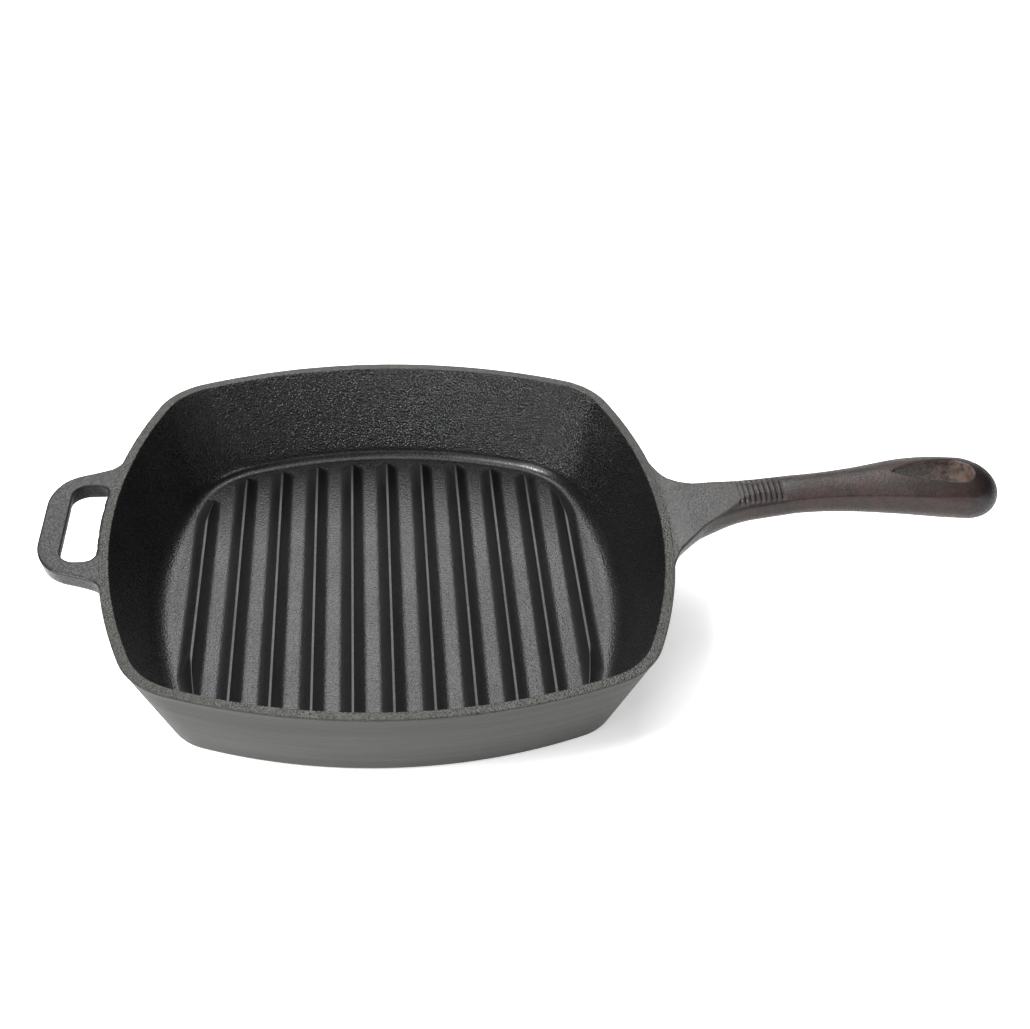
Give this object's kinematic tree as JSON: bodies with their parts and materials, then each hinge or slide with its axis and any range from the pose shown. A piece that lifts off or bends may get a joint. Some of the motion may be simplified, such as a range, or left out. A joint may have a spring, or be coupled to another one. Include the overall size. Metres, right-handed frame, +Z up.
{
  "type": "grill pan",
  "caption": "Square cast-iron grill pan with bowed sides, a ribbed cooking floor, a long handle with a teardrop hanging hole, and a slotted helper handle.",
  "frame": {"origin": "centre of the flat underside, on the surface the pan stands on", "axes": "+X towards the long handle, +Y along the ribs, away from the picture's viewer, +Z up out of the well"},
  "size_m": [0.4499, 0.264, 0.0723],
  "materials": {
    "pan_body": "fine sand-cast grain, seasoned, semi-matt",
    "main_handle": "smoother than the well, with a brown patina towards the grip",
    "helper_handle": "fine sand-cast grain, seasoned, semi-matt",
    "grill_rib_01": "seasoned, semi-matt",
    "grill_rib_02": "seasoned, semi-matt",
    "grill_rib_03": "seasoned, semi-matt",
    "grill_rib_04": "seasoned, semi-matt",
    "grill_rib_05": "seasoned, semi-matt",
    "grill_rib_06": "seasoned, semi-matt",
    "grill_rib_07": "seasoned, semi-matt",
    "grill_rib_08": "seasoned, semi-matt",
    "grill_rib_09": "seasoned, semi-matt",
    "grill_rib_10": "seasoned, semi-matt",
    "grill_rib_11": "seasoned, semi-matt"
  },
  "bodies": {
    "root": {"pan_body": "pan_body", "main_handle": "main_handle", "helper_handle": "helper_handle", "grill_rib_01": "grill_rib_01", "grill_rib_02": "grill_rib_02", "grill_rib_03": "grill_rib_03", "grill_rib_04": "grill_rib_04", "grill_rib_05": "grill_rib_05", "grill_rib_06": "grill_rib_06", "grill_rib_07": "grill_rib_07", "grill_rib_08": "grill_rib_08", "grill_rib_09": "grill_rib_09", "grill_rib_10": "grill_rib_10", "grill_rib_11": "grill_rib_11"}
  },
  "joints": []
}
